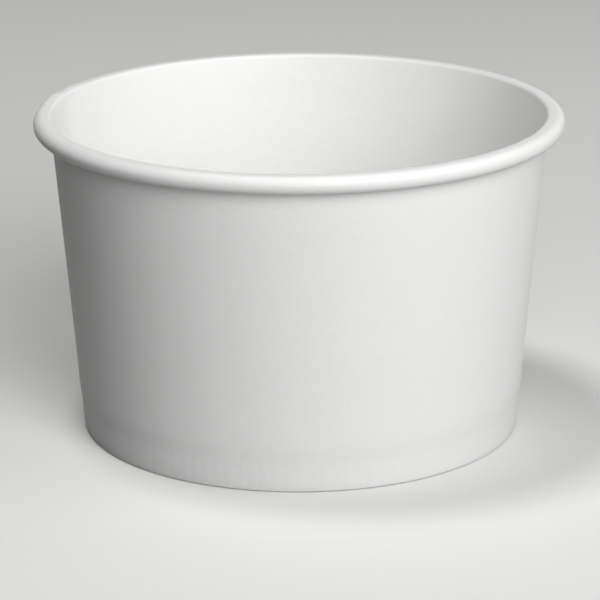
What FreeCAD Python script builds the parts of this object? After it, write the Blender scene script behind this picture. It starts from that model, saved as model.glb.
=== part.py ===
# A paper sundae cup, made as such cups are made from two blanks of coated board. The side blank is
# rolled to a tapered wall with a lapped seam, a rolled rim and a folded foot. The bottom blank is a
# disc whose turned-down skirt is clasped in that foot.
# Lengths are millimetres and angles degrees. The cup stands on z = 0 and its axis is Z.

import FreeCAD
import Part
import math
import os

# Overall sizes
cup_height = 58.0           # table to the top of the rolled rim
rim_diameter = 95.0         # over the rolled rim
foot_diameter = 79.5        # over the wall at the table

# Board
wall_board = 0.35           # thickness of the side blank
disc_board = 0.35           # thickness of the bottom blank
seal_film = 0.04            # melted coating between the two blanks where they are sealed

# Rolled rim
roll_height = 3.2           # top to underside of the roll
roll_flat = 0.15            # level stretch on top of the roll
roll_gap = 0.12             # between the wall and the roll's cut edge

# Foot
hem_height = 6.0            # table to the cut edge of the folded-in hem
bottom_recess = 6.5         # table to the underside of the bottom
skirt_clearance = 0.15      # from the fold's inside, at the seam, to the skirt's cut edge
disc_bend_radius = 0.5      # outside of the bend from disc to skirt

# Side seam
seam_azimuth = 164.0        # where the inner end of the side blank is cut
seam_lap = 7.0              # how far the outer end laps past it, measured at the rim
seam_climb = 3.5            # length in which a ply climbs over the other, measured at the rim
swell_height = 0.3          # how much the doubled roll stands proud at the cut
climb_section_count = 2     # sections lofted where a ply climbs or settles
lap_section_count = 3       # sections lofted along the lap

# Each bend is drawn in straight chords, so many on its first side and so many on the other. The first
# side is the drink side, which is also the outside of the roll.
shoulder_chord_counts = (3, 2)      # from the wall to the top of the roll
crown_chord_counts = (3, 2)         # from the top of the roll to its outermost line
underside_chord_counts = (4, 2)     # from there round to the roll's cut edge
fold_chord_counts = (1, 1)          # each of the two folds at the table
disc_chord_counts = (1, 1)          # from the disc to its skirt

# Values that follow from the sizes above
rim_radius = rim_diameter / 2
foot_radius = foot_diameter / 2
roll_radius = roll_height / 2
lap_angle = math.degrees(seam_lap / rim_radius)
climb_angle = math.degrees(seam_climb / rim_radius)
pocket_width = disc_board + 2 * seal_film

# The wall's outer face runs from the foot to touch the inside of the roll, which fixes its taper
roll_out = rim_radius - roll_radius - roll_flat - foot_radius
roll_up = cup_height - roll_radius
roll_inside = roll_radius - wall_board
wall_taper = math.degrees(
    math.atan2(roll_out, roll_up) - math.asin(roll_inside / math.hypot(roll_out, roll_up))
)
sin_taper = math.sin(math.radians(wall_taper))
cos_taper = math.cos(math.radians(wall_taper))
tan_taper = sin_taper / cos_taper

up = FreeCAD.Vector(0, 0, 1)
foot_centre = FreeCAD.Vector(0, 0, 0)


# Radius of the wall's outer face at a height, carried on past the rim and the table
def outer_face(height):
    return foot_radius + height * tan_taper


# Radius of a surface that runs a distance inside the wall's outer face
def inside_wall(height, depth):
    return outer_face(height) - depth / cos_taper


# Unit vector in the plane of a section, with its angle counted up from level outwards
def direction(angle):
    return FreeCAD.Vector(math.cos(math.radians(angle)), 0, math.sin(math.radians(angle)))


# Edges of one side of a path of straight runs and bends, at a distance to the right of it. A run is
# (length,) and a bend is (radius, turn, chords), where a positive turn goes left.
def trace(start, heading, moves, distance, side):
    point = start + direction(heading - 90) * distance
    edges = []
    for move in moves:
        length, half_turn, chords = move[0], 0, 1
        if len(move) > 1:
            chords = move[2][side]
            half_turn = move[1] / chords / 2
            bend = move[0] + math.copysign(distance, move[1])
            length = 2 * bend * math.sin(math.radians(abs(half_turn)))
        for chord in range(chords):
            end = point + direction(heading + half_turn) * length
            heading += 2 * half_turn
            if length > 0:
                edges.append(Part.makeLine(point, end))
            point = end
    return edges


# Closed outline of board of some thickness to the right of a path
def board_outline(start, heading, moves, thickness):
    near = trace(start, heading, moves, 0, 0)
    far = trace(start, heading, moves, thickness, 1)
    first_cut = Part.makeLine(near[0].firstVertex().Point, far[0].firstVertex().Point)
    last_cut = Part.makeLine(near[-1].lastVertex().Point, far[-1].lastVertex().Point)
    return Part.Wire(near + [last_cut] + far[::-1] + [first_cut])


# Outline of the side blank's section: hem, foot fold, wall and roll, along its drink side. lift is
# how far it lies out over another ply, swell how far the roll stands proud, and rise how far the
# fold is held up off the table by a ply under it.
def wall_outline(thickness, lift, swell, rise):
    fold_floor = thickness + rise
    radius = roll_radius + swell / 2 - lift
    roll_x = rim_radius + swell / 2 - roll_radius
    roll_z = cup_height + swell / 2 - roll_radius

    wall_head = roll_z + radius * sin_taper
    shoulder_x = inside_wall(wall_head, wall_board - lift) + radius * cos_taper
    stop = outer_face(roll_z) + lift + thickness - wall_board + roll_gap
    tuck = math.degrees(math.asin((roll_x - stop) / radius))

    pocket = pocket_width + 2 * lift
    hem_depth = wall_board - lift + pocket
    moves = [
        ((hem_height - fold_floor) / cos_taper,),
        (0, 90 + wall_taper, fold_chord_counts),
        (pocket / cos_taper,),
        (0, 90 - wall_taper, fold_chord_counts),
        ((wall_head - fold_floor) / cos_taper,),
        (radius, wall_taper - 90, shoulder_chord_counts),
        (roll_x - shoulder_x,),
        (radius, -90, crown_chord_counts),
        (radius, -90 - tuck, underside_chord_counts),
    ]
    start = FreeCAD.Vector(inside_wall(hem_height, hem_depth), 0, hem_height)
    return board_outline(start, 270 - wall_taper, moves, thickness)


# Copy of an outline turned about the cup's axis
def turned(outline, azimuth):
    copy = outline.copy()
    copy.rotate(foot_centre, up, azimuth)
    return copy


# One stretch of the seam, lofted through outlines from one azimuth to another. shape_at gives the
# outline at a share of the way along.
def seam_stretch(first, last, sections, shape_at):
    outlines = []
    for section in range(sections):
        share = section / (sections - 1)
        outlines.append(turned(shape_at(share), first + share * (last - first)))
    return Part.makeLoft(outlines, True, True)


# The side blank. A single ply goes nearly all the way round. Its far end then climbs outside its
# near end, the two lie double over the lap, and the near end settles to the table and the roll.
def make_side_wall():
    cut = seam_azimuth
    lap_end = cut + lap_angle
    settled = lap_end + climb_angle
    swell_left = swell_height * climb_angle / (lap_angle + climb_angle)

    def climbing(share):
        return wall_outline(wall_board, share * wall_board, share * swell_height, 0)

    def lapped(share):
        return wall_outline(2 * wall_board, 0, swell_height + share * (swell_left - swell_height), 0)

    def settling(share):
        return wall_outline(wall_board, 0, (1 - share) * swell_left, (1 - share) * wall_board)

    single = Part.Face(turned(wall_outline(wall_board, 0, 0, 0), settled))
    single = single.revolve(foot_centre, up, 360 - lap_angle - 2 * climb_angle)
    climb = seam_stretch(cut - climb_angle, cut, climb_section_count, climbing)
    lap = seam_stretch(cut, lap_end, lap_section_count, lapped)
    settle = seam_stretch(lap_end, settled, climb_section_count, settling)
    return single.fuse([climb, lap, settle])


# The bottom blank: a flat disc bent down at its edge into a skirt that lies against the wall
def make_bottom_disc():
    disc_top = bottom_recess + disc_board
    skirt_head = disc_top - disc_bend_radius * (1 + sin_taper)
    skirt_end = 2 * wall_board + skirt_clearance
    skirt_radius = inside_wall(skirt_head, wall_board + seal_film)
    moves = [
        (skirt_radius - disc_bend_radius * cos_taper,),
        (disc_bend_radius, -90 - wall_taper, disc_chord_counts),
        ((skirt_head - skirt_end) / cos_taper,),
    ]
    outline = board_outline(FreeCAD.Vector(0, 0, disc_top), 0, moves, disc_board)
    return Part.Face(outline).revolve(foot_centre, up, 360)


# Write one sub-part, and print what shows whether it is one sound solid
def write_part(name, shape):
    print(name, "solids", len(shape.Solids), "valid", shape.isValid(), "volume", round(shape.Volume, 1))
    shape.Solids[0].exportStep(f"parts/{name}.step")


os.makedirs("parts", exist_ok=True)
print("wall taper", round(wall_taper, 2))
write_part("side_wall", make_side_wall())
write_part("bottom_disc", make_bottom_disc())
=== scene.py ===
import math

import bmesh
import bpy
from mathutils import Matrix, Vector


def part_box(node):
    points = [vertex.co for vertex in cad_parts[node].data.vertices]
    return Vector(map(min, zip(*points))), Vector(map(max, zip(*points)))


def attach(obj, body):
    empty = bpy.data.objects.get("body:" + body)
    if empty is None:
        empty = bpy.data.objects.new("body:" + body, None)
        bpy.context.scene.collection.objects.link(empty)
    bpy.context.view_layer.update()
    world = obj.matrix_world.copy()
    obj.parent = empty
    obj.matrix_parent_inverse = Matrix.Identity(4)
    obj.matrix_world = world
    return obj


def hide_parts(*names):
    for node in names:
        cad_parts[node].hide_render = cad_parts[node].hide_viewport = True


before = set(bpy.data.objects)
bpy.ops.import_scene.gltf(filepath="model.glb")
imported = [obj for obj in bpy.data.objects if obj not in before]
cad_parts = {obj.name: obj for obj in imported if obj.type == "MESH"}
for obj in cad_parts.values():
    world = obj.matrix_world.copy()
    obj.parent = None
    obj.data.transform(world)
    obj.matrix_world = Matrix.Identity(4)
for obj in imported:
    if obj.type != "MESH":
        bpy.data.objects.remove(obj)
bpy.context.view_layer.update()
mm = 0.001
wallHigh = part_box("side_wall")[1]
discLow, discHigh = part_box("bottom_disc")
print("frame loaded, rim radius", round(wallHigh.x / mm, 2), "mm")


def linear(hexColour):  # sRGB hex to the linear RGBA that sockets take
    channels = [int(hexColour[i:i + 2], 16) / 255 for i in (1, 3, 5)]
    return (*(c / 12.92 if c <= 0.04045 else ((c + 0.055) / 1.055) ** 2.4 for c in channels), 1.0)


def addNode(tree, kind, settings=None, links=None):  # inputs by name or number: a value, a node or a socket
    made = tree.nodes.new(kind)
    for name, value in (settings or {}).items():
        setattr(made, name, value)
    for name, value in (links or {}).items():
        for source in value if isinstance(value, list) else [value]:
            source = source.outputs[0] if isinstance(source, bpy.types.Node) else source
            if isinstance(source, bpy.types.NodeSocket):
                tree.links.new(source, made.inputs[name])
            else:
                made.inputs[name].default_value = source
    return made


# materials

coatedBoard = {
    "name": "PE coated cup board",
    "light": "#F9F9F8",
    "dark": "#F5F5F4",
    "cloudSize": 3.0 * mm,      # formation clouds, seen when light falls across the board
    "grainLength": 2.0 * mm,    # fibre bundles lie round the cup
    "grainHeight": 0.4 * mm,
    "toothSize": 0.8 * mm,
    "grainBump": 0.018 * mm,
    "toothBump": 0.03 * mm,
    "cloudShare": 0.4,          # of the clouds against the grain
    "shadeRange": (0.3, 1.1),   # of both together, from dark to light
    "roughness": (0.5, 0.6),    # the thin film follows the fibres, so it is satin and uneven
    "ior": 1.5,
}


def coatedBoardMaterial(look):  # bleached board with an extruded film: clean white, soft sheen, faint grain
    material = bpy.data.materials.new(look["name"])
    material.use_nodes = True
    tree = material.node_tree
    shader = tree.nodes["Principled BSDF"]
    shader.inputs["IOR"].default_value = look["ior"]
    place = addNode(tree, "ShaderNodeTexCoord").outputs["Object"]
    flat = look["grainLength"] / look["grainHeight"]
    along = addNode(tree, "ShaderNodeMapping", {}, {"Vector": place, "Scale": (1, 1, flat)})
    clouds = addNode(tree, "ShaderNodeTexNoise", {}, {
        "Vector": place, "Scale": 1 / look["cloudSize"], "Detail": 3})
    grain = addNode(tree, "ShaderNodeTexNoise", {}, {
        "Vector": along, "Scale": 1 / look["grainLength"], "Detail": 4, "Roughness": 0.6, "Distortion": 0.3})
    tooth = addNode(tree, "ShaderNodeTexNoise", {}, {
        "Vector": place, "Scale": 1 / look["toothSize"], "Detail": 2})
    both = addNode(tree, "ShaderNodeMath", {"operation": "MULTIPLY_ADD"}, {
        0: clouds, 1: look["cloudShare"], 2: grain})
    darkest, lightest = look["shadeRange"]
    shade = addNode(tree, "ShaderNodeMapRange", {}, {
        "Value": both, "From Min": darkest, "From Max": lightest})
    colour = addNode(tree, "ShaderNodeMix", {"data_type": "RGBA"}, {
        "Factor": shade, 6: linear(look["dark"]), 7: linear(look["light"])})
    tree.links.new(colour.outputs[2], shader.inputs["Base Color"])
    low, high = look["roughness"]
    satin = addNode(tree, "ShaderNodeMapRange", {}, {"Value": grain, "To Min": low, "To Max": high})
    tree.links.new(satin.outputs[0], shader.inputs["Roughness"])
    first = addNode(tree, "ShaderNodeBump", {}, {"Height": grain, "Distance": look["grainBump"]})
    second = addNode(tree, "ShaderNodeBump", {}, {
        "Height": tooth, "Distance": look["toothBump"], "Normal": first})
    tree.links.new(second.outputs[0], shader.inputs["Normal"])
    return material


cutBoard = {
    "name": "Cut edge of board",
    "light": "#F0EEE8",
    "dark": "#DEDBD2",
    "fibreSize": 0.12 * mm,
    "bump": 0.02 * mm,
    "roughness": 0.85,
    "ior": 1.5,
}


def cutBoardMaterial(look):  # bare pulp where the knife went: matt, a shade warmer, with fibre ends
    material = bpy.data.materials.new(look["name"])
    material.use_nodes = True
    tree = material.node_tree
    shader = tree.nodes["Principled BSDF"]
    shader.inputs["IOR"].default_value = look["ior"]
    shader.inputs["Roughness"].default_value = look["roughness"]
    place = addNode(tree, "ShaderNodeTexCoord").outputs["Object"]
    fibres = addNode(tree, "ShaderNodeTexNoise", {}, {
        "Vector": place, "Scale": 1 / look["fibreSize"], "Detail": 3})
    colour = addNode(tree, "ShaderNodeMix", {"data_type": "RGBA"}, {
        "Factor": fibres, 6: linear(look["dark"]), 7: linear(look["light"])})
    tree.links.new(colour.outputs[2], shader.inputs["Base Color"])
    bump = addNode(tree, "ShaderNodeBump", {}, {"Height": fibres, "Distance": look["bump"]})
    tree.links.new(bump.outputs[0], shader.inputs["Normal"])
    return material


boardFinish = coatedBoardMaterial(coatedBoard)
edgeFinish = cutBoardMaterial(cutBoard)
print("materials made")


# the two blanks: each is a strip of board whose section is a path of straight runs and bends

def bend(name, radius, turn, rows):  # a bend of the drink side, in degrees, left is positive
    chord = 2 * radius * math.sin(math.radians(abs(turn)) / rows / 2)
    return {"name": name, "length": chord * rows, "turn": math.radians(turn), "rows": rows}


def run(name, length, rows):
    return {"name": name, "length": length, "turn": 0.0, "rows": rows}


def rowOf(stretches, name):  # first row of a stretch
    names = [s["name"] for s in stretches]
    return sum(s["rows"] for s in stretches[:names.index(name)])


smooth = {"interpolation_type": "SMOOTHSTEP"}
mergeDistance = 0.001 * mm      # closes the board where its grids meet
sharpAngle = 40.0               # degrees at a fold past which its shading breaks
# what each point or face of a blank carries until it is shaped
marks = {"aroundShare": "POINT", "sectionRow": "POINT", "otherSide": "POINT", "cutFace": "FACE"}


def sectionFields(tree, sizes, stretches):  # place and heading of each row, summed step by step
    index = addNode(tree, "GeometryNodeInputIndex")
    heading, travelled, firstRow = sizes.outputs["Start heading"], 0.0, 0
    for stretch in stretches:
        share = addNode(tree, "ShaderNodeMapRange", {}, {
            "Value": index, "From Min": firstRow, "From Max": firstRow + stretch["rows"]})
        heading = addNode(tree, "ShaderNodeMath", {"operation": "MULTIPLY_ADD"}, {
            0: share, 1: sizes.outputs[stretch["name"] + " turn"], 2: heading})
        travelled = addNode(tree, "ShaderNodeMath", {"operation": "MULTIPLY_ADD"}, {
            0: share, 1: sizes.outputs[stretch["name"] + " length"], 2: travelled})
        firstRow += stretch["rows"]
    following = addNode(tree, "ShaderNodeMath", {"operation": "ADD"}, {0: index, 1: 1.0})
    ahead = addNode(tree, "GeometryNodeFieldAtIndex", {}, {"Value": heading, "Index": following})
    reached = addNode(tree, "GeometryNodeFieldAtIndex", {}, {"Value": travelled, "Index": following})
    both = addNode(tree, "ShaderNodeMath", {"operation": "ADD"}, {0: heading, 1: ahead})
    middle = addNode(tree, "ShaderNodeMath", {"operation": "MULTIPLY"}, {0: both, 1: 0.5})
    length = addNode(tree, "ShaderNodeMath", {"operation": "SUBTRACT"}, {0: reached, 1: travelled})
    across = addNode(tree, "ShaderNodeMath", {"operation": "COSINE"}, {0: middle})
    upward = addNode(tree, "ShaderNodeMath", {"operation": "SINE"}, {0: middle})
    way = addNode(tree, "ShaderNodeCombineXYZ", {}, {"X": across, "Z": upward})
    step = addNode(tree, "ShaderNodeVectorMath", {"operation": "SCALE"}, {0: way, "Scale": length})
    steps = addNode(tree, "GeometryNodeAccumulateField", {"data_type": "FLOAT_VECTOR"}, {"Value": step})
    start = addNode(tree, "ShaderNodeCombineXYZ", {}, {
        "X": sizes.outputs["Start radius"], "Z": sizes.outputs["Start height"]})
    place = addNode(tree, "ShaderNodeVectorMath", {"operation": "ADD"}, {
        0: steps.outputs["Trailing"], 1: start})
    return place, heading


def blankParts(tree, columns, rows, hasEnds):  # grids that carry their column, row and side of the board
    index = addNode(tree, "GeometryNodeInputIndex")
    side = rows + 1
    ring = 2 * side + 1  # up one side of the board, back down the other and home
    grid = addNode(tree, "GeometryNodeMeshGrid", {}, {"Vertices X": columns + 1, "Vertices Y": ring})
    column = addNode(tree, "ShaderNodeMath", {"operation": "DIVIDE"}, {0: index, 1: float(ring)})
    column = addNode(tree, "ShaderNodeMath", {"operation": "FLOOR"}, {0: column})
    share = addNode(tree, "ShaderNodeMath", {"operation": "DIVIDE"}, {0: column, 1: float(columns)})
    slot = addNode(tree, "ShaderNodeMath", {"operation": "MODULO"}, {0: index, 1: float(ring)})
    back = addNode(tree, "ShaderNodeMath", {"operation": "SUBTRACT"}, {0: 2.0 * side - 1, 1: slot})
    row = addNode(tree, "ShaderNodeMath", {"operation": "MINIMUM"}, {0: slot, 1: back})
    row = addNode(tree, "ShaderNodeMath", {"operation": "MAXIMUM"}, {0: row, 1: 0.0})
    other = addNode(tree, "ShaderNodeMath", {"operation": "COMPARE"}, {
        0: slot, 1: 1.5 * side - 0.5, 2: side / 2})
    faceSlot = addNode(tree, "ShaderNodeMath", {"operation": "MODULO"}, {0: index, 1: ring - 1.0})
    topCut = addNode(tree, "ShaderNodeMath", {"operation": "COMPARE"}, {0: faceSlot, 1: side - 1.0, 2: 0.5})
    hemCut = addNode(tree, "ShaderNodeMath", {"operation": "COMPARE"}, {
        0: faceSlot, 1: 2 * side - 1.0, 2: 0.5})
    cut = addNode(tree, "ShaderNodeMath", {"operation": "ADD"}, {0: topCut, 1: hemCut})
    parts = [(grid, share, row, other, cut)]
    for end in (0.0, 1.0) if hasEnds else ():
        cap = addNode(tree, "GeometryNodeMeshGrid", {}, {"Vertices X": 2, "Vertices Y": side})
        capSide = addNode(tree, "ShaderNodeMath", {"operation": "DIVIDE"}, {0: index, 1: float(side)})
        capSide = addNode(tree, "ShaderNodeMath", {"operation": "FLOOR"}, {0: capSide})
        capRow = addNode(tree, "ShaderNodeMath", {"operation": "MODULO"}, {0: index, 1: float(side)})
        parts.append((cap, end, capRow, capSide, 1.0))
    marked = []
    for geometry, *values in parts:
        for (name, domain), value in zip(marks.items(), values):
            geometry = addNode(tree, "GeometryNodeStoreNamedAttribute", {"domain": domain}, {
                "Geometry": geometry, "Name": name, "Value": value})
        marked.append(geometry)
    return addNode(tree, "GeometryNodeJoinGeometry", {}, {"Geometry": marked})


def boardTree(name, stretches, names, columns, hasEnds, shapeAt):
    tree = bpy.data.node_groups.new(name, "GeometryNodeTree")
    tree.interface.new_socket(name="Geometry", in_out="OUTPUT", socket_type="NodeSocketGeometry")
    for socket in names:
        tree.interface.new_socket(name=socket, in_out="INPUT", socket_type="NodeSocketFloat")
    sizes = addNode(tree, "NodeGroupInput")
    rows = sum(s["rows"] for s in stretches)
    line = addNode(tree, "GeometryNodeMeshLine", {}, {"Count": rows + 1})
    place, heading = sectionFields(tree, sizes, stretches)
    blank = blankParts(tree, columns, rows, hasEnds)

    share = addNode(tree, "GeometryNodeInputNamedAttribute", {}, {"Name": "aroundShare"})
    row = addNode(tree, "GeometryNodeInputNamedAttribute", {}, {"Name": "sectionRow"})
    other = addNode(tree, "GeometryNodeInputNamedAttribute", {}, {"Name": "otherSide"})
    place = addNode(tree, "GeometryNodeSampleIndex", {"data_type": "FLOAT_VECTOR"}, {
        "Geometry": line, "Value": place, "Index": row})
    heading = addNode(tree, "GeometryNodeSampleIndex", {}, {"Geometry": line, "Value": heading, "Index": row})
    sine = addNode(tree, "ShaderNodeMath", {"operation": "SINE"}, {0: heading})
    inward = addNode(tree, "ShaderNodeMath", {"operation": "MULTIPLY"}, {0: sine, 1: -1.0})
    cosine = addNode(tree, "ShaderNodeMath", {"operation": "COSINE"}, {0: heading})
    drinkSide = addNode(tree, "ShaderNodeCombineXYZ", {}, {"X": inward, "Z": cosine})
    around = addNode(tree, "ShaderNodeMath", {"operation": "MULTIPLY"}, {0: share, 1: sizes.outputs["Wrap"]})
    azimuth = addNode(tree, "ShaderNodeMath", {"operation": "ADD"}, {0: around, 1: sizes.outputs["Azimuth"]})

    lift, slide = shapeAt(tree, sizes, place, row, around, azimuth)
    depth = addNode(tree, "ShaderNodeMath", {"operation": "MULTIPLY"}, {0: other, 1: sizes.outputs["Board"]})
    lift = addNode(tree, "ShaderNodeMath", {"operation": "SUBTRACT"}, {0: lift, 1: depth})
    moved = addNode(tree, "ShaderNodeVectorMath", {"operation": "SCALE"}, {0: drinkSide, "Scale": lift})
    moved = addNode(tree, "ShaderNodeVectorMath", {"operation": "ADD"}, {0: moved, 1: slide})
    place = addNode(tree, "ShaderNodeVectorMath", {"operation": "ADD"}, {0: place, 1: moved})
    turned = addNode(tree, "ShaderNodeVectorRotate", {"rotation_type": "Z_AXIS"}, {
        "Vector": place, "Angle": azimuth})

    shaped = addNode(tree, "GeometryNodeSetPosition", {}, {"Geometry": blank, "Position": turned})
    closed = addNode(tree, "GeometryNodeMergeByDistance", {}, {"Geometry": shaped, "Distance": mergeDistance})
    shaded = addNode(tree, "GeometryNodeSetShadeSmooth", {}, {"Geometry": closed})
    real = addNode(tree, "GeometryNodeRealizeInstances", {}, {"Geometry": shaded})
    cut = addNode(tree, "GeometryNodeInputNamedAttribute", {}, {"Name": "cutFace"})
    finished = addNode(tree, "GeometryNodeSetMaterial", {}, {"Geometry": real, "Material": boardFinish})
    finished = addNode(tree, "GeometryNodeSetMaterial", {}, {
        "Geometry": finished, "Selection": cut, "Material": edgeFinish})
    addNode(tree, "NodeGroupOutput", {}, {"Geometry": finished})
    return tree


def meshPiece(name, tree, values):  # runs a tree, and keeps its result as a plain closed mesh
    holder = bpy.data.objects.new(name + "Holder", bpy.data.meshes.new(name + "Holder"))
    bpy.context.scene.collection.objects.link(holder)
    modifier = holder.modifiers.new("Shape", "NODES")
    modifier.node_group = tree
    for socket in tree.interface.items_tree:
        if socket.in_out == "INPUT":
            modifier[socket.identifier] = values[socket.name]
    mesh = bpy.data.meshes.new_from_object(holder.evaluated_get(bpy.context.evaluated_depsgraph_get()))
    holder.modifiers.remove(modifier)
    bpy.data.objects.remove(holder)
    for mark in marks:
        mesh.attributes.remove(mesh.attributes[mark])
    shell = bmesh.new()
    shell.from_mesh(mesh)
    bmesh.ops.delete(shell, geom=[edge for edge in shell.edges if edge.is_wire], context="EDGES")
    bmesh.ops.recalc_face_normals(shell, faces=shell.faces)
    shell.to_mesh(mesh)
    openEdges = sum(not edge.is_manifold for edge in shell.edges)
    volume = round(shell.calc_volume() / mm ** 3, 1)
    print(name, "faces", len(shell.faces), "open edges", openEdges, "volume", volume)
    shell.free()
    mesh.set_sharp_from_angle(angle=math.radians(sharpAngle))
    mesh.name = name
    piece = bpy.data.objects.new(name, mesh)
    bpy.context.scene.collection.objects.link(piece)
    return piece


# side wall: one blank with hem, foot fold, wall and rolled rim, its ends lapped

wall = {
    "height": 58.0 * mm,            # table to the top of the roll
    "rimRadius": wallHigh.x,
    "footRadius": 39.75 * mm,
    "board": 0.35 * mm,
    "rollHeight": 3.2 * mm,
    "rollFlat": 0.15 * mm,          # level stretch on top of the roll, which sets the taper
    "shoulderRadius": 0.6 * mm,     # the wall turns out to the roll in a tight bend
    "rollGap": 0.12 * mm,           # from the wall to the roll's underside
    "innerRadius": 1.0 * mm,        # the roll's last, hidden stretch
    "innerTurn": 75.0,
    "hemHeight": 6.0 * mm,
    "pocket": 0.43 * mm,            # between hem and wall, for the bottom's skirt
    "foldRadius": 0.04 * mm,
    "sealedHeight": 14.0 * mm,      # as high as the heat seal shows in the wall
    "sealDrop": 0.8 * mm,           # from the hem's cut edge down to where the tuck is deepest
    "tuckBelow": 1.7 * mm,          # in which the tuck deepens
    "tuckAbove": 1.6 * mm,          # and in which it fades
    "bulgeRise": 3.0 * mm,          # from there to where the bulge is fullest
    "bulgeEnd": 1.5 * mm,           # past the sealed height, where it is gone
    "printFade": 1.0 * mm,          # in which the knurl's print fades above there
    "seamAzimuth": 164.0,
    "lap": 7.0 * mm,
    "climb": 6.5 * mm,              # in which one end climbs outside the other
    "film": 0.01 * mm,              # glue line between the two ends
    "swell": 0.3 * mm,              # how far the doubled roll stands proud
    "swellBehind": 14.0,            # degrees before the cut where it starts to rise
    "swellPeak": 2.5,               # degrees past the cut where it is highest
    "swellFade": 10.0,              # and where it is gone
    "riseRows": 4,                  # rows of the wall in which the lapped fold settles
    "columns": 736,
    "ribCount": 120,                # knurl pressed into the hem
    "ribDepth": 0.1 * mm,
    "ribRows": 2,                   # rows of the hem in which it fades at both edges
    "ribPrint": 0.008 * mm,         # what shows of it on the wall outside
    "sealBulge": 0.09 * mm,         # how far the wall stands out above the sealed foot
    "sealTuck": 0.05 * mm,          # how far it is drawn in along the top of the hem
    "mottle": 0.03 * mm,            # unevenness left by the press in the sealed foot
    "rollMottle": 0.03 * mm,        # the curl isn't quite even
    "mottleSize": 2.6 * mm,
    "wave": 0.03 * mm,              # the rolled board isn't quite round
    "waveSize": 34.0 * mm,
    "seed": 4.0,
}


def wallSection(size):  # the drink side's path, from the hem's cut edge to the roll's inner end
    board, rollRadius = size["board"], size["rollHeight"] / 2
    rollX, rollZ = size["rimRadius"] - rollRadius, size["height"] - rollRadius
    out, rise = rollX - size["rollFlat"] - size["footRadius"], rollZ
    taper = math.atan2(out, rise) - math.asin((rollRadius - board) / math.hypot(out, rise))
    sine, cosine = math.sin(taper), math.cos(taper)
    degrees = math.degrees(taper)

    def inside(height, depth):
        return size["footRadius"] + height * math.tan(taper) - depth / cosine

    fold, pocket = size["foldRadius"], size["pocket"]
    hemEnd, wallStart = board + fold * (1 + sine), board + fold * (1 - sine)
    shoulder = size["shoulderRadius"]
    wallHead = size["height"] - shoulder * (1 - sine)
    shoulderX = inside(wallHead, board) + shoulder * cosine
    tuckRadius = rollX - inside(rollZ, 0) - size["rollGap"]
    stretches = [
        run("Hem", (size["hemHeight"] - hemEnd) / cosine, 6),
        bend("Inner fold", fold, 90 + degrees, 4),
        run("Pocket", (pocket - 2 * fold) / cosine, 1),
        bend("Outer fold", fold, 90 - degrees, 4),
        run("Sealed wall", (size["sealedHeight"] - wallStart) / cosine, 12),
        run("Wall", (wallHead - size["sealedHeight"]) / cosine, 8),
        bend("Shoulder", shoulder, degrees - 90, 6),
        run("Rim top", rollX - shoulderX, 1),
        bend("Roll crown", rollRadius, -90, 7),
        bend("Roll underside", rollRadius, -90, 7),
        bend("Roll return", tuckRadius, -90, 4),
        bend("Roll inside", size["innerRadius"], -size["innerTurn"], 3),
    ]
    start = {
        "Start radius": inside(size["hemHeight"], board + pocket),
        "Start height": size["hemHeight"],
        "Start heading": math.radians(270) - taper,
    }
    return stretches, start, taper


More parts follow.
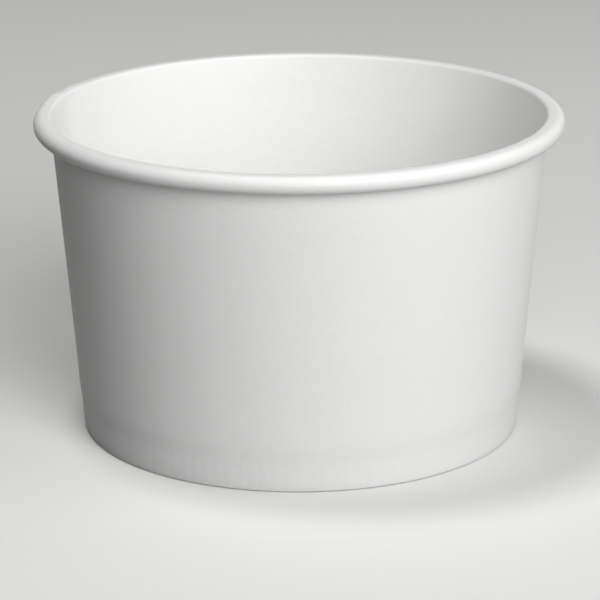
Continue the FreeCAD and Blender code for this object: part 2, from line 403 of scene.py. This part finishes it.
def wallShape(tree, sizes, place, row, around, azimuth):
    first = {s["name"]: rowOf(wallStretches, s["name"]) for s in wallStretches}
    turn = addNode(tree, "ShaderNodeMath", {"operation": "DEGREES"}, {0: around})

    # The far end climbs outside the near end, and where both lie double the fold and the roll make room
    climbing = addNode(tree, "ShaderNodeMapRange", smooth, {
        "Value": turn, "From Min": 360 - climbAngle, "From Max": 360})
    settling = addNode(tree, "ShaderNodeMapRange", smooth, {
        "Value": turn, "From Min": lapAngle, "From Max": lapAngle + climbAngle, "To Min": 1.0, "To Max": 0.0})
    doubled = addNode(tree, "ShaderNodeMath", {"operation": "ADD"}, {0: climbing, 1: settling})
    ply = addNode(tree, "ShaderNodeMath", {"operation": "ADD"}, {
        0: sizes.outputs["Board"], 1: sizes.outputs["Film"]})
    lift = addNode(tree, "ShaderNodeMath", {"operation": "MULTIPLY"}, {0: climbing, 1: ply})
    room = addNode(tree, "ShaderNodeMath", {"operation": "MULTIPLY"}, {0: doubled, 1: ply})
    hemShare = addNode(tree, "ShaderNodeMapRange", smooth, {
        "Value": row, "From Min": 0.0, "From Max": first["Inner fold"]})
    foldShare = addNode(tree, "ShaderNodeMapRange", smooth, {
        "Value": row, "From Min": first["Sealed wall"],
        "From Max": first["Sealed wall"] + wall["riseRows"], "To Min": 1.0, "To Max": 0.0})
    foldShare = addNode(tree, "ShaderNodeMath", {"operation": "MULTIPLY"}, {0: hemShare, 1: foldShare})
    risen = addNode(tree, "ShaderNodeMath", {"operation": "MULTIPLY"}, {0: room, 1: foldShare})
    tuckShare = addNode(tree, "ShaderNodeMapRange", smooth, {
        "Value": row, "From Min": first["Roll underside"], "From Max": first["Roll inside"]})
    tucked = addNode(tree, "ShaderNodeMath", {"operation": "MULTIPLY"}, {0: room, 1: tuckShare})
    rise = addNode(tree, "ShaderNodeVectorMath", {"operation": "SCALE"}, {
        0: (math.tan(wallTaper), 0, 1), "Scale": risen})
    tuck = addNode(tree, "ShaderNodeVectorMath", {"operation": "SCALE"}, {0: (1, 0, 0), "Scale": tucked})
    slide = addNode(tree, "ShaderNodeVectorMath", {"operation": "ADD"}, {0: rise, 1: tuck})

    # The doubled roll stands proud at the cut, in a ridge that falls away to both sides
    seamTurn = addNode(tree, "ShaderNodeMath", {"operation": "WRAP"}, {0: turn, 1: 180.0, 2: -180.0})
    rising = addNode(tree, "ShaderNodeMapRange", {}, {
        "Value": seamTurn, "From Min": -wall["swellBehind"], "From Max": wall["swellPeak"]})
    falling = addNode(tree, "ShaderNodeMapRange", {}, {
        "Value": seamTurn, "From Min": wall["swellPeak"], "From Max": wall["swellFade"],
        "To Min": 1.0, "To Max": 0.0})
    swell = addNode(tree, "ShaderNodeMath", {"operation": "MULTIPLY"}, {0: rising, 1: falling})
    onRoll = addNode(tree, "ShaderNodeMapRange", smooth, {
        "Value": row, "From Min": first["Shoulder"], "From Max": first["Roll crown"]})
    offRoll = addNode(tree, "ShaderNodeMapRange", smooth, {
        "Value": row, "From Min": first["Roll underside"], "From Max": first["Roll return"],
        "To Min": 1.0, "To Max": 0.0})
    onRoll = addNode(tree, "ShaderNodeMath", {"operation": "MULTIPLY"}, {0: onRoll, 1: offRoll})
    swell = addNode(tree, "ShaderNodeMath", {"operation": "MULTIPLY"}, {0: swell, 1: onRoll})
    swell = addNode(tree, "ShaderNodeMath", {"operation": "MULTIPLY"}, {0: swell, 1: sizes.outputs["Swell"]})

    # Heat seal: a tuck along the top of the hem, a bulge over it, and the print of the knurl
    height = addNode(tree, "ShaderNodeSeparateXYZ", {}, {0: place}).outputs["Z"]
    onWall = addNode(tree, "ShaderNodeMapRange", smooth, {
        "Value": row, "From Min": first["Outer fold"], "From Max": first["Sealed wall"]})
    sealTop = wall["hemHeight"] - wall["sealDrop"]
    tuckIn = addNode(tree, "ShaderNodeMapRange", smooth, {
        "Value": height, "From Min": sealTop - wall["tuckBelow"], "From Max": sealTop})
    tuckOut = addNode(tree, "ShaderNodeMapRange", smooth, {
        "Value": height, "From Min": sealTop, "From Max": sealTop + wall["tuckAbove"],
        "To Min": 1.0, "To Max": 0.0})
    sealTuck = addNode(tree, "ShaderNodeMath", {"operation": "MULTIPLY"}, {0: tuckIn, 1: tuckOut})
    sealTuck = addNode(tree, "ShaderNodeMath", {"operation": "MULTIPLY"}, {
        0: sealTuck, 1: sizes.outputs["Seal tuck"]})
    fullest = sealTop + wall["bulgeRise"]
    bulgeIn = addNode(tree, "ShaderNodeMapRange", smooth, {
        "Value": height, "From Min": sealTop, "From Max": fullest})
    bulgeOut = addNode(tree, "ShaderNodeMapRange", smooth, {
        "Value": height, "From Min": fullest, "From Max": wall["sealedHeight"] + wall["bulgeEnd"],
        "To Min": 1.0, "To Max": 0.0})
    bulge = addNode(tree, "ShaderNodeMath", {"operation": "MULTIPLY"}, {0: bulgeIn, 1: bulgeOut})
    sealed = addNode(tree, "ShaderNodeMath", {"operation": "MULTIPLY"}, {
        0: bulge, 1: sizes.outputs["Seal bulge"]})
    sealed = addNode(tree, "ShaderNodeMath", {"operation": "SUBTRACT"}, {0: sealed, 1: sealTuck})

    point = addNode(tree, "ShaderNodeVectorRotate", {"rotation_type": "Z_AXIS"}, {
        "Vector": place, "Angle": azimuth})
    mottle = addNode(tree, "ShaderNodeTexNoise", {"noise_dimensions": "4D"}, {
        "Vector": point, "W": sizes.outputs["Seed"], "Scale": 1 / wall["mottleSize"], "Detail": 1.0})
    mottle = addNode(tree, "ShaderNodeMath", {"operation": "SUBTRACT"}, {0: mottle, 1: 0.5})
    uneven = addNode(tree, "ShaderNodeMath", {"operation": "MULTIPLY"}, {
        0: mottle, 1: sizes.outputs["Roll mottle"]})
    uneven = addNode(tree, "ShaderNodeMath", {"operation": "MULTIPLY"}, {0: uneven, 1: onRoll})
    mottle = addNode(tree, "ShaderNodeMath", {"operation": "MULTIPLY"}, {
        0: mottle, 1: sizes.outputs["Mottle"]})
    ribs = addNode(tree, "ShaderNodeMath", {"operation": "MULTIPLY"}, {
        0: azimuth, 1: float(wall["ribCount"])})
    ribs = addNode(tree, "ShaderNodeMath", {"operation": "COSINE"}, {0: ribs})
    printed = addNode(tree, "ShaderNodeMath", {"operation": "MULTIPLY_ADD"}, {
        0: ribs, 1: sizes.outputs["Rib print"], 2: mottle})
    inSeal = addNode(tree, "ShaderNodeMapRange", smooth, {
        "Value": height, "From Min": sealTop, "From Max": sealTop + wall["printFade"],
        "To Min": 1.0, "To Max": 0.0})
    printed = addNode(tree, "ShaderNodeMath", {"operation": "MULTIPLY"}, {0: printed, 1: inSeal})
    sealed = addNode(tree, "ShaderNodeMath", {"operation": "ADD"}, {0: sealed, 1: printed})
    sealed = addNode(tree, "ShaderNodeMath", {"operation": "MULTIPLY_ADD"}, {0: sealed, 1: onWall, 2: uneven})

    wave = addNode(tree, "ShaderNodeTexNoise", {"noise_dimensions": "4D"}, {
        "Vector": point, "W": sizes.outputs["Seed"], "Scale": 1 / wall["waveSize"], "Detail": 1.0})
    wave = addNode(tree, "ShaderNodeMath", {"operation": "SUBTRACT"}, {0: wave, 1: 0.5})
    wave = addNode(tree, "ShaderNodeMath", {"operation": "MULTIPLY"}, {0: wave, 1: sizes.outputs["Wave"]})
    free = addNode(tree, "ShaderNodeMapRange", smooth, {
        "Value": height, "From Min": wall["hemHeight"], "From Max": wall["sealedHeight"]})
    below = addNode(tree, "ShaderNodeMapRange", smooth, {
        "Value": height, "From Min": wall["height"] - 2 * wall["rollHeight"],
        "From Max": wall["height"] - wall["rollHeight"], "To Min": 1.0, "To Max": 0.0})
    free = addNode(tree, "ShaderNodeMath", {"operation": "MULTIPLY"}, {0: free, 1: below})
    outward = addNode(tree, "ShaderNodeMath", {"operation": "MULTIPLY_ADD"}, {0: wave, 1: free, 2: sealed})

    # Knurl on the hem, pressed from inside the foot
    hemTop = addNode(tree, "ShaderNodeMapRange", smooth, {
        "Value": row, "From Min": 0.0, "From Max": float(wall["ribRows"])})
    hemFoot = addNode(tree, "ShaderNodeMapRange", smooth, {
        "Value": row, "From Min": first["Inner fold"] - wall["ribRows"], "From Max": first["Inner fold"],
        "To Min": 1.0, "To Max": 0.0})
    onHem = addNode(tree, "ShaderNodeMath", {"operation": "MULTIPLY"}, {0: hemTop, 1: hemFoot})
    ridge = addNode(tree, "ShaderNodeMath", {"operation": "MULTIPLY_ADD"}, {0: ribs, 1: 0.5, 2: 0.5})
    ridge = addNode(tree, "ShaderNodeMath", {"operation": "MULTIPLY"}, {
        0: ridge, 1: sizes.outputs["Rib depth"]})
    ridge = addNode(tree, "ShaderNodeMath", {"operation": "MULTIPLY"}, {0: ridge, 1: onHem})

    inwards = addNode(tree, "ShaderNodeMath", {"operation": "SUBTRACT"}, {0: swell, 1: lift})
    inwards = addNode(tree, "ShaderNodeMath", {"operation": "SUBTRACT"}, {0: inwards, 1: outward})
    return addNode(tree, "ShaderNodeMath", {"operation": "SUBTRACT"}, {0: inwards, 1: ridge}), slide


wallStretches, wallStart, wallTaper = wallSection(wall)
lapAngle = math.degrees(wall["lap"] / wall["rimRadius"])
climbAngle = math.degrees(wall["climb"] / wall["rimRadius"])
wallValues = {
    **wallStart,
    **{s["name"] + " length": s["length"] for s in wallStretches},
    **{s["name"] + " turn": s["turn"] for s in wallStretches},
    "Azimuth": math.radians(wall["seamAzimuth"]),
    "Wrap": math.radians(360 + lapAngle),
    "Board": wall["board"],
    "Film": wall["film"],
    "Swell": wall["swell"],
    "Rib depth": wall["ribDepth"],
    "Rib print": wall["ribPrint"],
    "Seal bulge": wall["sealBulge"],
    "Seal tuck": wall["sealTuck"],
    "Mottle": wall["mottle"],
    "Roll mottle": wall["rollMottle"],
    "Wave": wall["wave"],
    "Seed": wall["seed"],
}
wallTree = boardTree("sideBlank", wallStretches, wallValues, wall["columns"], True, wallShape)
sideWall = meshPiece("sideWallBoard", wallTree, wallValues)
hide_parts("side_wall")
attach(sideWall, "root")
print("side wall made, taper", round(math.degrees(wallTaper), 2))


# bottom: a round blank with its edge turned down into a skirt

bottom = {
    "top": discHigh.z,
    "board": 0.35 * mm,
    "film": 0.04 * mm,          # melted coating between skirt and wall
    "bendRadius": 0.5 * mm,
    "skirtEnd": discLow.z,
    "columns": 360,
    "wave": 0.12 * mm,          # a pressed disc is never quite flat
    "waveSize": 30.0 * mm,
    "waveLevel": 0.8,           # noise past this rises, so the disc mostly sags
    "waveRows": 3,              # rows of the floor in which it fades
    "pleatCount": 90,           # the skirt crimps where the round blank is drawn down
    "pleatDepth": 0.03 * mm,
    "seed": 9.0,
}


def bottomSection(size):
    sine, cosine = math.sin(wallTaper), math.cos(wallTaper)
    skirtHead = size["top"] - size["bendRadius"] * (1 + sine)
    depth = (wall["board"] + size["film"]) / cosine
    skirtRadius = wall["footRadius"] + skirtHead * math.tan(wallTaper) - depth
    floorRadius = skirtRadius - size["bendRadius"] * cosine
    stretches = [
        run("Floor", floorRadius, 16),
        bend("Floor edge", size["bendRadius"], -90 - math.degrees(wallTaper), 6),
        run("Skirt", (skirtHead - size["skirtEnd"]) / cosine, 5),
    ]
    return stretches, {"Start radius": 0.0, "Start height": size["top"], "Start heading": 0.0}


def bottomShape(tree, sizes, place, row, around, azimuth):
    point = addNode(tree, "ShaderNodeVectorRotate", {"rotation_type": "Z_AXIS"}, {
        "Vector": place, "Angle": azimuth})
    wave = addNode(tree, "ShaderNodeTexNoise", {"noise_dimensions": "4D"}, {
        "Vector": point, "W": sizes.outputs["Seed"], "Scale": 1 / bottom["waveSize"], "Detail": 1.0})
    wave = addNode(tree, "ShaderNodeMath", {"operation": "SUBTRACT"}, {0: wave, 1: bottom["waveLevel"]})
    wave = addNode(tree, "ShaderNodeMath", {"operation": "MULTIPLY"}, {0: wave, 1: sizes.outputs["Wave"]})
    edge = rowOf(bottomStretches, "Floor edge")
    inner = addNode(tree, "ShaderNodeMapRange", smooth, {
        "Value": row, "From Min": float(edge - bottom["waveRows"]), "From Max": edge,
        "To Min": 1.0, "To Max": 0.0})
    wave = addNode(tree, "ShaderNodeMath", {"operation": "MULTIPLY"}, {0: wave, 1: inner})
    pleats = addNode(tree, "ShaderNodeMath", {"operation": "MULTIPLY"}, {
        0: azimuth, 1: float(bottom["pleatCount"])})
    pleats = addNode(tree, "ShaderNodeMath", {"operation": "COSINE"}, {0: pleats})
    pleats = addNode(tree, "ShaderNodeMath", {"operation": "SUBTRACT"}, {0: pleats, 1: 1.0})
    pleats = addNode(tree, "ShaderNodeMath", {"operation": "MULTIPLY"}, {
        0: pleats, 1: sizes.outputs["Pleat depth"]})
    onSkirt = addNode(tree, "ShaderNodeMapRange", smooth, {
        "Value": row, "From Min": float(edge), "From Max": float(rowOf(bottomStretches, "Skirt"))})
    lift = addNode(tree, "ShaderNodeMath", {"operation": "MULTIPLY_ADD"}, {0: pleats, 1: onSkirt, 2: wave})
    return lift, (0, 0, 0)


bottomStretches, bottomStart = bottomSection(bottom)
bottomValues = {
    **bottomStart,
    **{s["name"] + " length": s["length"] for s in bottomStretches},
    **{s["name"] + " turn": s["turn"] for s in bottomStretches},
    "Azimuth": 0.0,
    "Wrap": math.radians(360),
    "Board": bottom["board"],
    "Wave": bottom["wave"],
    "Pleat depth": bottom["pleatDepth"],
    "Seed": bottom["seed"],
}
bottomTree = boardTree("bottomBlank", bottomStretches, bottomValues, bottom["columns"], False, bottomShape)
bottomDisc = meshPiece("bottomDiscBoard", bottomTree, bottomValues)
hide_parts("bottom_disc")
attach(bottomDisc, "root")
print("bottom made")


# studio: pale floor, soft lamps, camera

studio = {
    "floorSize": 6.0,
    "floorSeen": "#F6F6F4",     # what the camera sees of the floor
    "floorBounce": "#606060",   # what lights the cup from below
    "floorRoughness": 0.9,
    "backdrop": "#EDEDEB",      # it is only seen, and lights nothing
}

lamps = {                       # azimuth counted from the camera's side towards the right
    "key": {"azimuth": 20.0, "elevation": 30.0, "distance": 1.2, "size": 0.9, "power": 8.9},
    "low": {"azimuth": 29.0, "elevation": 15.0, "distance": 1.2, "size": 0.9, "power": 3.9},
    "side": {"azimuth": 85.0, "elevation": 20.0, "distance": 1.2, "size": 0.8, "power": 2.3},
    "top": {"azimuth": -100.0, "elevation": 78.0, "distance": 1.2, "size": 0.3, "power": 4.7},
}

view = {
    "imageSize": 600,
    "focalPixels": 2893.9,
    "sensor": 36.0,
    "distance": 528.8 * mm,
    "nearest": 10.0 * mm,
    "pitch": 17.53,
    "roll": -0.286,
    "target": (-0.01 * mm, 0.0, 22.19 * mm),
}


def seenRays(tree):  # one where the camera sees a surface, itself or in a reflection
    path = addNode(tree, "ShaderNodeLightPath")
    seen = addNode(tree, "ShaderNodeMath", {"operation": "MAXIMUM"}, {
        0: path.outputs["Is Camera Ray"], 1: path.outputs["Is Glossy Ray"]})
    return addNode(tree, "ShaderNodeMath", {"operation": "MAXIMUM"}, {
        0: seen, 1: path.outputs["Is Transmission Ray"]})


def makeFloor(look):
    mesh = bpy.data.meshes.new("studioFloor")
    half = look["floorSize"] / 2
    corners = [(-half, -half, 0), (half, -half, 0), (half, half, 0), (-half, half, 0)]
    mesh.from_pydata(corners, [], [(0, 1, 2, 3)])
    floor = bpy.data.objects.new("studioFloor", mesh)
    bpy.context.scene.collection.objects.link(floor)
    material = bpy.data.materials.new("Matt paper sweep")
    material.use_nodes = True
    tree = material.node_tree
    shader = tree.nodes["Principled BSDF"]
    shader.inputs["Roughness"].default_value = look["floorRoughness"]
    seen = seenRays(tree)
    colour = addNode(tree, "ShaderNodeMix", {"data_type": "RGBA"}, {
        "Factor": seen, 6: linear(look["floorBounce"]), 7: linear(look["floorSeen"])})
    tree.links.new(colour.outputs[2], shader.inputs["Base Color"])
    mesh.materials.append(material)


def makeWorld(look):
    world = bpy.data.worlds.new("studioWorld")
    world.use_nodes = True
    tree = world.node_tree
    shown = addNode(tree, "ShaderNodeBackground", {}, {
        "Color": linear(look["backdrop"]), "Strength": seenRays(tree)})
    tree.links.new(shown.outputs[0], tree.nodes["World Output"].inputs["Surface"])
    bpy.context.scene.world = world


def makeLamp(name, look):
    light = bpy.data.lights.new(name, "AREA")
    light.shape = "DISK"
    light.size = look["size"]
    light.energy = look["power"]
    azimuth, elevation = math.radians(look["azimuth"]), math.radians(look["elevation"])
    way = Vector((math.sin(azimuth) * math.cos(elevation), -math.cos(azimuth) * math.cos(elevation),
                  math.sin(elevation)))
    lamp = bpy.data.objects.new(name, light)
    lamp.location = Vector((0, 0, wall["height"] / 2)) + way * look["distance"]
    lamp.rotation_euler = way.to_track_quat("Z", "Y").to_euler()
    bpy.context.scene.collection.objects.link(lamp)


def makeCamera(look):
    pitch, roll = math.radians(look["pitch"]), math.radians(look["roll"])
    ahead = Vector((0, math.cos(pitch), -math.sin(pitch)))
    up = Vector((0, math.sin(pitch), math.cos(pitch)))
    right = Vector((1, 0, 0)) * math.cos(roll) + up * math.sin(roll)
    upright = up * math.cos(roll) - Vector((1, 0, 0)) * math.sin(roll)
    data = bpy.data.cameras.new("studioCamera")
    data.sensor_width = look["sensor"]
    data.lens = look["focalPixels"] * look["sensor"] / look["imageSize"]
    data.clip_start = look["nearest"]
    camera = bpy.data.objects.new("studioCamera", data)
    turned = Matrix((right, upright, -ahead)).transposed().to_4x4()
    camera.matrix_world = Matrix.Translation(Vector(look["target"]) - ahead * look["distance"]) @ turned
    bpy.context.scene.collection.objects.link(camera)
    bpy.context.scene.camera = camera


makeFloor(studio)
makeWorld(studio)
for lampName, lampLook in lamps.items():
    makeLamp(lampName, lampLook)
makeCamera(view)
bpy.context.scene.view_settings.view_transform = "Standard"
print("studio made")
